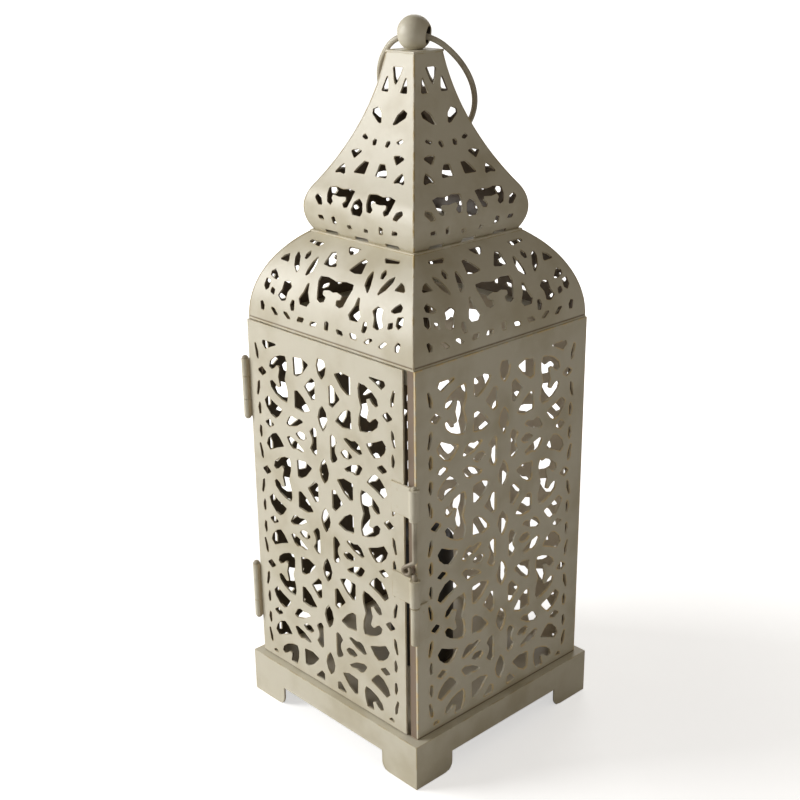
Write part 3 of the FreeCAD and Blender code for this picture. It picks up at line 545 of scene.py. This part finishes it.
@dataclass
class Profiles:
    """Wall curves of dome and spire, in metres, from the frame's boxes and the maker's radii."""

    flare_radius: float = 0.150
    swell_radius: float = 0.0182
    top_lean: float = math.radians(9.5)
    flare_lean: float = math.radians(35.5)

    def dome(self, count: int) -> np.ndarray:
        """Dome wall from foot to neck: one arc, upright at its foot.

        Args:
            count: number of points.

        Returns:
            Array of count x 2 (half width, height).
        """
        low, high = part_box("dome_front_wall")
        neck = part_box("neck_frame")[1].x
        rise, inset = high.z - low.z, high.x - neck
        radius = (rise ** 2 + inset ** 2) / (2 * inset)
        angle = np.linspace(0, math.asin(rise / radius), count)
        half_width = high.x - radius * (1 - np.cos(angle))
        return np.stack([half_width, low.z + radius * np.sin(angle)], -1)

    def spire(self, count: int) -> np.ndarray:
        """Spire wall from foot to top: a round swell, then a hollow flare.

        The swell's and the flare's arcs meet where the wall leans most. The
        places come from the top edge, worked downwards.

        Args:
            count: number of points.

        Returns:
            Array of count x 2 (half width, height).
        """
        low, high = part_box("spire_front_wall")
        bend_z = high.z - self.flare_radius * (math.sin(self.flare_lean) - math.sin(self.top_lean))
        swell_z = bend_z - self.swell_radius * math.sin(self.flare_lean)
        swell_w = high.x - self.swell_radius
        curl = math.asin((swell_z - low.z) / self.swell_radius)
        round_part = np.linspace(-curl, self.flare_lean, count // 3)
        hollow = np.linspace(self.flare_lean, self.top_lean, count - count // 3 + 1)[1:]
        bend_w = swell_w + self.swell_radius * math.cos(self.flare_lean)
        swell = np.stack([swell_w + self.swell_radius * np.cos(round_part),
                          swell_z + self.swell_radius * np.sin(round_part)], -1)
        inset = self.flare_radius * (np.cos(hollow) - math.cos(self.flare_lean))
        rise = self.flare_radius * (math.sin(self.flare_lean) - np.sin(hollow))
        flare = np.stack([bend_w - inset, bend_z + rise], -1)
        return np.concatenate([swell, flare])


@dataclass
class Shell:
    """The painted sheet work: base, walls, dome, spire and their seams."""

    sheet: float = 0.001
    bead_radius: float = 0.0006
    bead_sink: float = 0.00045
    dome_steps: int = 40
    spire_steps: int = 60
    tube_sides: int = 8
    hem_radius: float = 0.00068
    hem_sink: float = 0.0005
    hem_lip: float = 0.0004
    foot_width: float = 0.0246
    foot_corner: float = 0.005
    foot_bend: float = math.radians(60)
    skirt_depth: float = 0.0132
    spot_radius: float = 0.0011
    spot_rise: float = 0.0003
    spot_sink: float = 0.0002
    spot_crown: float = 0.02
    spot_sides: int = 12
    spot_shares: tuple[float, ...] = (0.22, 0.78)
    guide_inset: float = 0.004
    leaf_inset: float = 0.003
    corners: tuple[tuple[int, int], ...] = ((-1, -1), (1, -1), (1, 1), (-1, 1))

    def paint_nodes(self, frame: dict) -> None:
        """Puts the paints on the frame's own nodes, ahead of the finer pieces' own.
        """
        deck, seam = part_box("base_tray")[1].z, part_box("seam_frame")[1].z
        # Inside colours below are painted shade, deepest where the walls get least light.
        dark: Colour = (0.12, 0.092, 0.058)
        # Back wall: lighter painted shade within, as light comes in through the door.
        wall = PaintFinish(name="cream_paint_walls", joint_shade_heights=(deck, seam),
                           inside_shade=(0.64, 0.54, 0.40)).build()
        # Left wall and door: deep painted shade within.
        shaded = PaintFinish(name="cream_paint_shade_within", joint_shade_heights=(deck, seam),
                             inside_shade=dark).build()
        # Dome and spire: dark painted shade within.
        curved = PaintFinish(name="cream_paint_ridged", ridge_rub=0.95, joint_shade_heights=(seam,),
                             inside_shade=(0.16, 0.12, 0.08)).build()
        # Base: painted shade on its inward faces and on the deck within the walls.
        base = PaintFinish(name="cream_paint_base", deck_top=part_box("right_wall")[1].x,
                           edge_reach=0.0014, rub_strength=1.0, inside_shade=(0.50, 0.43, 0.32)).build()
        # Painted shade: the corner posts are painted dark brown, standing in for the shadow of the
        # door's proud edge.
        post = PaintFinish(name="painted_shade_posts", cream=(0.255, 0.19, 0.139),
                           stain=(0.21, 0.15, 0.10), inside_shade=dark).build()
        plain = PaintFinish().build()
        # Right wall: gold rub made much brighter and wider than elsewhere, partly real rub and
        # partly a painted highlight on the hole edges of this shaded side.
        rub_and_edge_highlight = PaintFinish(name="cream_paint_rub_and_highlight", joint_shade_heights=(deck, seam),
                             edge_reach=0.0020, rub_strength=1.0, wear_scale=170.0,
                             rub=(0.78, 0.54, 0.17)).build()
        own = {"base_tray": base, "left_wall": shaded, "door_leaf": shaded, "back_wall": wall,
               "right_wall": rub_and_edge_highlight}
        for name, node in frame["nodes"].items():
            material = own.get(name, plain)
            if name.startswith(("dome_", "spire_")) and name.endswith("_wall"):
                material = curved
            if name.startswith("corner_post_"):
                material = post
            paint(node, material)

    def ridge_beads(self, profiles: Profiles, material: bpy.types.Material) -> None:
        """Solder beads up the mitred corners of dome and spire.

        A tube follows (w, w, z) of the wall's curve, turned into each corner.

        Args:
            profiles: the wall curves.
            material: the bead's finish.
        """
        curves = {"dome": profiles.dome(self.dome_steps), "spire": profiles.spire(self.spire_steps)}
        for name, curve in curves.items():
            half = curve[:, 0] - self.bead_sink
            for number, (sx, sy) in enumerate(self.corners, start=1):
                path = np.stack([sx * half, sy * half, curve[:, 1]], axis=-1)
                bead = grid_mesh(f"{name}_ridge_bead_{number}",
                                 tube_points(path, self.bead_radius, self.tube_sides))
                dress(bead, material, Body.FRAME)

    def base_hems(self, material: bpy.types.Material) -> None:
        """Rolled hems round the four notches between the feet.

        The path climbs a foot's rounded corner, crosses under the skirt and
        comes down the other foot, then is turned to each side.

        Args:
            material: the hem's finish.
        """
        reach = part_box("base_tray")[1].x
        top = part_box("base_tray")[1].z - self.skirt_depth
        half = reach - self.foot_width
        lip = self.hem_lip
        bend = np.linspace(self.foot_bend, 0, 8)
        down_x = half + self.foot_corner * (1 - np.cos(bend))
        down_z = self.foot_corner * (1 - np.sin(bend))
        up_z = np.linspace(self.foot_corner, top - lip, 5)[1:]
        right = np.stack([np.concatenate([down_x, np.full_like(up_z, half)]),
                          np.concatenate([down_z, up_z])], -1)
        across = np.stack([np.linspace(half - lip, -half + lip, 24), np.full(24, top)], -1)
        left = right[::-1] * np.array([-1.0, 1.0])
        flat = np.concatenate([right, across, left])
        path = np.stack([flat[:, 0], np.full(len(flat), -reach + self.hem_sink), flat[:, 1]], -1)
        for number in range(4):
            turn = number * math.pi / 2
            cosine, sine = math.cos(turn), math.sin(turn)
            spin = np.array([[cosine, -sine, 0], [sine, cosine, 0], [0, 0, 1]])
            hem = grid_mesh(f"base_hem_{number + 1}",
                            tube_points(path @ spin.T, self.hem_radius, self.tube_sides))
            dress(hem, material, Body.FRAME)

    def weld_spots(self, material: bpy.types.Material) -> None:
        """Low round weld marks on the hinge and latch leaves.

        Each mark is a turned cap, its height falling as the square of the
        distance from its middle.

        Args:
            material: the marks' finish.
        """
        rows = np.linspace(1.0, self.spot_crown, 5)[:, None]
        angle = np.linspace(0, 2 * np.pi, self.spot_sides, endpoint=False)
        across = self.spot_radius * rows * np.cos(angle)
        upward = self.spot_radius * rows * np.sin(angle)
        out = self.spot_rise * (1 - rows ** 2) - self.spot_sink + np.zeros_like(across)
        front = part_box("door_leaf")[0].y - self.sheet
        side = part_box("right_wall")[1].x + self.sheet
        for node, body in (("lower_hinge_wall_leaf", Body.FRAME),
                           ("upper_hinge_wall_leaf", Body.FRAME), ("bolt_keeper", Body.FRAME),
                           ("bolt_guide_upper", Body.DOOR), ("bolt_guide_lower", Body.DOOR)):
            low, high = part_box(node)
            hand = 1 if node == "bolt_keeper" else -1
            for number, share in enumerate(self.spot_shares, start=1):
                z = low.z + share * (high.z - low.z) + upward
                if body is Body.DOOR:
                    points = np.stack([low.x + self.guide_inset + across, front - out, z], -1)
                else:
                    y = high.y - self.leaf_inset + hand * across
                    points = np.stack([hand * (side + out), y, z], -1)
                spot = grid_mesh(f"{node}_weld_{number}", points)
                dress(spot, material, body)


@dataclass
class Bolt:
    """Wire drop bolt whose wire makes one turn as a finger eye."""

    wire: float = 0.00125
    eye_wire: float = 0.00092
    eye_radius: float = 0.0020
    eye_out: float = 0.0040
    eye_height: float = 0.1180
    slant: float = math.radians(34.6)
    step_forward: float = 0.0019
    spacing: float = 0.00025
    smoothing: int = 9
    sides: int = 16
    end_taper: float = 0.6

    def path(self, axis: np.ndarray, low: float, high: float) -> np.ndarray:
        """Middle line of the wire.

        From its foot the wire climbs the guides' axis, turns left under the
        eye, makes one full circle and a bit, and slants back to the axis.
        The circle steps forward so that the wire clears itself. The line is
        cut into equal steps and evened out by a running mean.

        Args:
            axis: place (x, y) of the guides' axis.
            low: height of the wire's foot.
            high: height of its top.

        Returns:
            Array of n x 3 points.
        """
        last = math.pi / 2 + self.slant - 4 * math.pi
        turn = np.linspace(-math.pi / 2, last, 90)
        ahead = np.clip((turn - turn[0]) / (turn[-1] - turn[0]), 0, 1)
        forward = self.step_forward * (3 * ahead ** 2 - 2 * ahead ** 3)
        eye = np.stack([axis[0] - self.eye_out + self.eye_radius * np.cos(turn), axis[1] - forward,
                        self.eye_height + self.eye_radius * np.sin(turn)], -1)
        under = eye[0] + np.array([self.eye_out, 0.0, 0.0])
        back = self.eye_out - self.eye_radius * math.cos(turn[-1])
        rejoin = eye[-1] + np.array([back, 0.0, back * math.tan(self.slant)])
        rejoin[1] = axis[1]
        line = np.concatenate([[[*axis, low], under], eye, [rejoin], [[*axis, high]]])
        steps = np.concatenate([[0.0], np.cumsum(np.linalg.norm(np.diff(line, axis=0), axis=1))])
        even = np.linspace(0, steps[-1], int(steps[-1] / self.spacing))
        smooth = np.stack([np.interp(even, steps, line[:, k]) for k in range(3)], -1)
        edge = self.smoothing // 2
        padded = np.pad(smooth, ((edge, edge), (0, 0)), mode="edge")
        window = np.hanning(self.smoothing + 2)[1:-1]
        window /= window.sum()
        smooth = np.stack([np.convolve(padded[:, k], window, mode="valid") for k in range(3)], -1)
        smooth[[0, -1]] = [*axis, low], [*axis, high]
        return smooth

    def build(self, material: bpy.types.Material) -> None:
        """Builds the bolt; its wire is a little thinner along the eye.

        Args:
            material: the wire's finish.
        """
        low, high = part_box("drop_bolt")
        axis = np.array([high.x - self.wire, high.y - self.wire])
        path = self.path(axis, low.z, high.z)
        off = np.clip(np.abs(path[:, 0] - axis[0]) / self.wire, 0, 1)
        radius = self.wire + (self.eye_wire - self.wire) * off
        radius[[0, -1]] *= self.end_taper
        bolt = grid_mesh("drop_bolt_wire", tube_points(path, radius, self.sides))
        dress(bolt, material, Body.BOLT)
        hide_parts("drop_bolt")


@dataclass
class Candle:
    """Pillar candle with a shallow melt pool, and its twisted wick."""

    sides: int = 72
    foot_chamfer: float = 0.0008
    foot_share: float = 0.4
    pool_depth: float = 0.0026
    pool_middle: float = 0.0006
    rim: float = 0.0024
    wave: float = 0.00012
    wave_count: int = 3
    wave_climb: float = 210.0
    strand: float = 0.00042
    strand_overlap: float = 1.05
    strand_sides: int = 10
    strand_steps: int = 60
    tip_taper: tuple[float, ...] = (0.9, 0.7, 0.35)
    twist: float = 900.0
    lean: float = 0.0022
    wick_rise: float = 0.0088
    wick_root: float = 0.002
    char_start: float = 0.001
    char_end: float = 0.002

    def wax(self, material: bpy.types.Material) -> None:
        """Builds the candle's body.

        Its profile climbs the side, rounds over the rim and sinks into the
        pool as a cosine; the side swells a little with height and angle.

        Args:
            material: the wax.
        """
        low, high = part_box("pillar_candle")
        radius = (high.x - low.x) / 2
        centre = ((low.x + high.x) / 2, (low.y + high.y) / 2)
        foot = np.array([[radius * self.foot_share, low.z], [radius - self.foot_chamfer, low.z]])
        side_z = np.linspace(low.z + self.foot_chamfer, high.z - self.rim, 30)
        side = np.stack([np.full_like(side_z, radius), side_z], -1)
        turn = np.linspace(0, np.pi / 2, 8)[1:]
        rim = np.stack([radius - self.rim * (1 - np.cos(turn)),
                        high.z - self.rim * (1 - np.sin(turn))], -1)
        share = np.linspace(0, 1, 16)[1:]
        pool_r = (radius - self.rim) * (1 - share) + self.pool_middle * share
        pool = np.stack([pool_r, high.z - self.pool_depth * (1 - np.cos(np.pi * share)) / 2], -1)
        profile = np.concatenate([foot, side, rim, pool])
        points = turned_points(profile, centre, self.sides)
        offset = points[..., :2] - np.array(centre)
        angle = np.arctan2(offset[..., 1], offset[..., 0])
        swirl = self.wave_count * angle + self.wave_climb * points[..., 2]
        points[..., :2] += offset / radius * (self.wave * (np.sin(swirl) - 1))[..., None]
        candle = grid_mesh("pillar_candle_wax", points)
        dress(candle, material, Body.CANDLE)
        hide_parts("pillar_candle")

    def wick(self) -> None:
        """Builds the wick, three strands twisted round a leaning line.

        The line leans over with the square of its height; each strand circles
        it by a fixed angle per metre and thins at its tip.
        """
        low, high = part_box("pillar_candle")
        x, y = (low.x + high.x) / 2, (low.y + high.y) / 2
        start = high.z - self.pool_depth - self.wick_root
        end = high.z + self.wick_rise
        cotton = CottonFinish(char_from=high.z + self.char_start,
                              char_to=end - self.char_end).build()
        z = np.linspace(start, end, self.strand_steps)
        bend = self.lean * ((z - start) / (end - start)) ** 2
        radius = np.full_like(z, self.strand * self.strand_overlap)
        radius[-len(self.tip_taper):] *= np.array(self.tip_taper)
        strands = []
        for number in range(3):
            phase = self.twist * z + number * 2 * np.pi / 3
            path = np.stack([x + bend + self.strand * np.cos(phase),
                             y - bend / 2 + self.strand * np.sin(phase), z], -1)
            strands.append(grid_mesh(f"wick_strand_{number + 1}",
                                     tube_points(path, radius, self.strand_sides)))
        for strand in strands:
            dress(strand, cotton, Body.CANDLE)
        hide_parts("candle_wick")


@dataclass
class Fittings:
    """The small parts that keep the frame's own shape: ball, ring and hinge pins."""

    core_skin: float = 0.0004

    def paint_nodes(self, nodes: dict[str, bpy.types.Object],
                    wire: bpy.types.Material) -> None:
        """Puts paint on the ball, with painted shade within its cross hole, and on the wire parts.

        Args:
            nodes: the frame's objects by name.
            wire: the wire's finish.
        """
        low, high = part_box("finial_ball")
        radius = (high.x - low.x) / 2
        # Painted shade on the ball's inward faces, and near black painted shade within its cross
        # hole.
        ball = PaintFinish(name="cream_paint_ball", inside_shade=(0.55, 0.50, 0.38), rub_strength=0.6,
                           core_height=high.z - radius,
                           core_radius=radius - self.core_skin).build()
        paint(nodes["finial_ball"], ball)
        for name in ("hanging_ring", "lower_hinge_pin", "upper_hinge_pin"):
            paint(nodes[name], wire)


# --- studio ----------------------------------------------------------------------------------


@dataclass(frozen=True)
class Studio:
    """Camera, lights, world and a pale floor.

    Angles are in degrees, the lens and sensor in millimetres, each lamp a
    name, a place, a side length and a power in watts.
    """

    eye: tuple[float, float, float] = (0.45177, -0.43494, 0.40412)
    azimuth: float = 46.892
    tilt: float = 20.375
    roll: float = -0.730
    lens: float = 58.825
    sensor: float = 36.0
    target: tuple[float, float, float] = (0.0, 0.0, 0.18)
    ambient: float = 0.17
    ambient_colour: Colour = (1.0, 0.87, 0.69)
    floor_half: float = 12.0
    floor_steps: int = 9
    floor_drop: float = 0.0002
    floor_tone: float = 0.90
    floor_lift: float = 0.58
    floor_fade: Span = (0.15, 0.55)
    floor_fade_lift: float = 0.45
    lamps: tuple[tuple[str, tuple[float, float, float], float, float], ...] = (
        ("key", (-1.25, -1.30, 0.85), 0.9, 33.0),
        ("rim", (-0.9, 1.2, 1.1), 0.8, 5.0),
        ("top", (0.9, -0.1, 1.7), 1.4, 1.6),
    )

    def camera(self) -> None:
        """Sets the camera from its place, compass angle, tilt and roll."""
        az, tilt, roll = (math.radians(v) for v in (self.azimuth, self.tilt, self.roll))
        look = Vector((-math.sin(az) * math.cos(tilt), math.cos(az) * math.cos(tilt),
                       -math.sin(tilt)))
        right = look.cross(Vector((0, 0, 1))).normalized()
        up = right.cross(look)
        rolled_right = right * math.cos(roll) + up * math.sin(roll)
        rolled_up = up * math.cos(roll) - right * math.sin(roll)
        data = bpy.data.cameras.new("studio_camera")
        data.lens = self.lens
        data.sensor_width = self.sensor
        camera = bpy.data.objects.new("studio_camera", data)
        rows = Matrix((rolled_right, rolled_up, -look)).transposed()
        camera.matrix_world = Matrix.Translation(self.eye) @ rows.to_4x4()
        bpy.context.scene.collection.objects.link(camera)
        bpy.context.scene.camera = camera

    def lights(self) -> None:
        """Soft area lamps, aimed at the lantern's middle."""
        for name, place, size, power in self.lamps:
            data = bpy.data.lights.new(name, "AREA")
            data.size = size
            data.energy = power
            lamp = bpy.data.objects.new(name, data)
            aim = (Vector(self.target) - Vector(place)).to_track_quat("-Z", "Y")
            lamp.matrix_world = Matrix.Translation(place) @ aim.to_matrix().to_4x4()
            bpy.context.scene.collection.objects.link(lamp)

    def world(self) -> None:
        """White to the eye and through clear pieces, a dim warm tone as a light."""
        world = bpy.data.worlds.new("studio_world")
        bpy.context.scene.world = world
        world.use_nodes = True
        nodes, links = world.node_tree.nodes, world.node_tree.links
        nodes.clear()
        path = nodes.new("ShaderNodeLightPath")
        seen = nodes.new("ShaderNodeMath")
        seen.operation = "MAXIMUM"
        links.new(path.outputs["Is Camera Ray"], seen.inputs[0])
        links.new(path.outputs["Is Transmission Ray"], seen.inputs[1])
        dim, bright = nodes.new("ShaderNodeBackground"), nodes.new("ShaderNodeBackground")
        dim.inputs[0].default_value = (*self.ambient_colour, 1.0)
        dim.inputs[1].default_value = self.ambient
        bright.inputs[0].default_value = (1.0, 1.0, 1.0, 1.0)
        mix = nodes.new("ShaderNodeMixShader")
        links.new(seen.outputs[0], mix.inputs[0])
        links.new(dim.outputs[0], mix.inputs[1])
        links.new(bright.outputs[0], mix.inputs[2])
        out = nodes.new("ShaderNodeOutputWorld")
        links.new(mix.outputs[0], out.inputs[0])

    def floor(self) -> None:
        """Builds the floor, a flat square grid just under the feet.

        To the eye it glows a little, and more so away from the lantern, so
        that it goes over into the white background and keeps the shadow.
        """
        line = np.linspace(-self.floor_half, self.floor_half, self.floor_steps)
        x, y = np.meshgrid(line, line)
        points = np.stack([x, y, np.full_like(x, -self.floor_drop)], -1).reshape(-1, 3)
        index = np.arange(x.size).reshape(x.shape)
        faces = np.stack([index[:-1, :-1], index[:-1, 1:], index[1:, 1:], index[1:, :-1]], -1)
        mesh = bpy.data.meshes.new("studio_floor")
        mesh.from_pydata(points.tolist(), [], faces.reshape(-1, 4).tolist())
        floor = bpy.data.objects.new("studio_floor", mesh)
        bpy.context.scene.collection.objects.link(floor)
        g = Graph("studio_floor")
        seen = g.add("LightPath").outputs["Is Camera Ray"]
        matt = g.add("BsdfDiffuse", {"Color": (*(self.floor_tone,) * 3, 1.0)})
        where = g.add("TexCoord").outputs["Object"]
        away = g.add("VectorMath", {0: where}, operation="LENGTH").outputs["Value"]
        rise = g.math("MULTIPLY", g.ramp(away, *self.floor_fade), self.floor_fade_lift)
        strength = g.math("MULTIPLY", seen, g.math("ADD", rise, self.floor_lift))
        glow = g.add("Emission", {"Color": (1.0, 1.0, 1.0, 1.0), "Strength": strength})
        both = g.add("AddShader", {0: matt.outputs[0], 1: glow.outputs[0]})
        g.add("OutputMaterial", {0: both.outputs[0]})
        mesh.materials.append(g.material)

    def build(self) -> None:
        """Builds the whole studio."""
        self.camera()
        self.lights()
        self.world()
        self.floor()
        bpy.context.scene.view_settings.view_transform = "Standard"


def main() -> None:
    """Builds the lantern round its frame and reports each piece."""
    logging.basicConfig(level=logging.INFO, format="%(name)s: %(message)s")
    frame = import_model()
    Studio().build()
    shell = Shell()
    shell.paint_nodes(frame)
    bead = PaintFinish(name="cream_paint_bead", rub_strength=0.3, ridge_rub=0.8,
                       ridge_reach=0.0012).build()
    hem = PaintFinish(name="cream_paint_hem", rub_strength=0.5).build()
    # The wire's inside colour is painted shade on its inward faces.
    wire = PaintFinish(name="cream_paint_wire", cream=(0.56, 0.52, 0.41), stain=(0.30, 0.25, 0.18),
                       inside_shade=(0.36, 0.31, 0.23), rub_strength=0.6, wear_scale=260.0).build()
    shell.ridge_beads(Profiles(), bead)
    shell.base_hems(hem)
    shell.weld_spots(hem)
    Fittings().paint_nodes(frame["nodes"], wire)
    Bolt().build(wire)
    candle = Candle()
    candle.wax(WaxFinish().build())
    candle.wick()
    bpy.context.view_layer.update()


if __name__ == "__main__":
    main()
